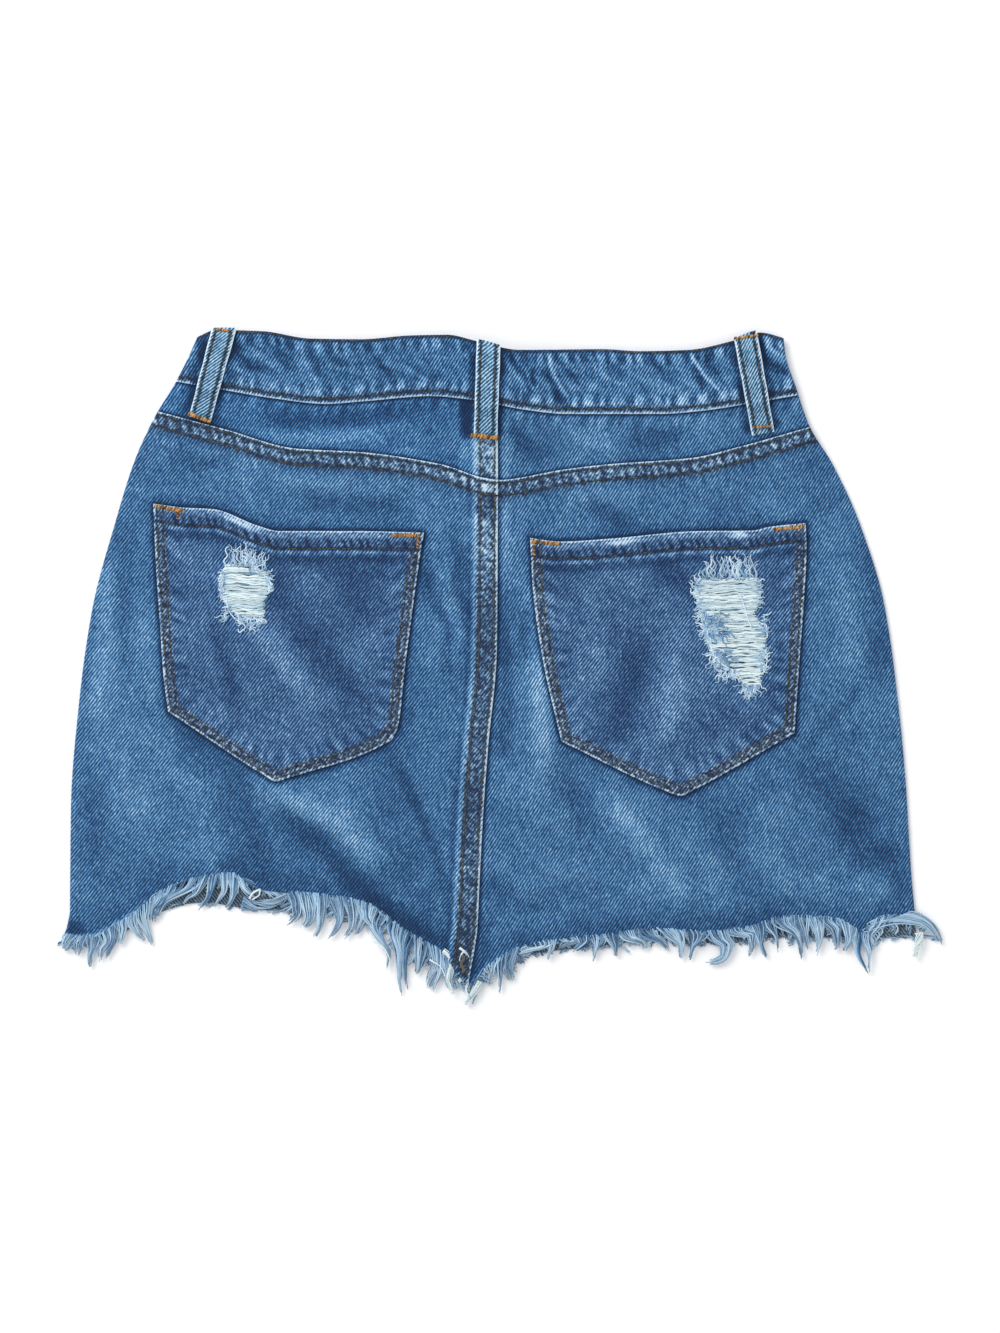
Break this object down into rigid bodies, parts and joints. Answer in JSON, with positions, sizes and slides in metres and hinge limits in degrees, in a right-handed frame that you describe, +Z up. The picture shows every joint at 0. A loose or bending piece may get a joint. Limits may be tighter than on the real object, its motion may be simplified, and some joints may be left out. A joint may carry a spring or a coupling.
{
  "type": "denim skirt",
  "caption": "Short A-line denim skirt lying flat on its front, with a shaped back yoke, patch pockets, belt loops, worn rips and a raw frayed hem.",
  "frame": {"origin": "centre of the bounding box on the surface that the skirt lies on", "axes": "+X to the right of the back, +Y to the waist, +Z up, out of the back"},
  "size_m": [0.5084, 0.3957, 0.016],
  "materials": {
    "denim": "washed blue denim twill",
    "bare_weft": "bare off-white weft threads",
    "frayed_warp": "frayed pale blue warp",
    "aged_brass": "aged brass"
  },
  "bodies": {
    "root": {"waistband_back": "denim", "waistband_front_left": "denim", "waistband_front_right": "denim", "yoke_left": "denim", "yoke_right": "denim", "back_left": "denim", "back_right": "denim", "front_left": "denim", "front_right": "denim", "pocket_left": "denim", "pocket_right": "denim", "rip_threads_left": "bare_weft", "rip_threads_right": "bare_weft", "belt_loop_back_left": "denim", "belt_loop_back_centre": "denim", "belt_loop_back_right": "denim", "belt_loop_front_left": "denim", "belt_loop_front_right": "denim", "button": "aged_brass", "fringe_back_left": "frayed_warp", "fringe_back_right": "frayed_warp", "fringe_front_left": "frayed_warp", "fringe_front_right": "frayed_warp"}
  },
  "joints": []
}
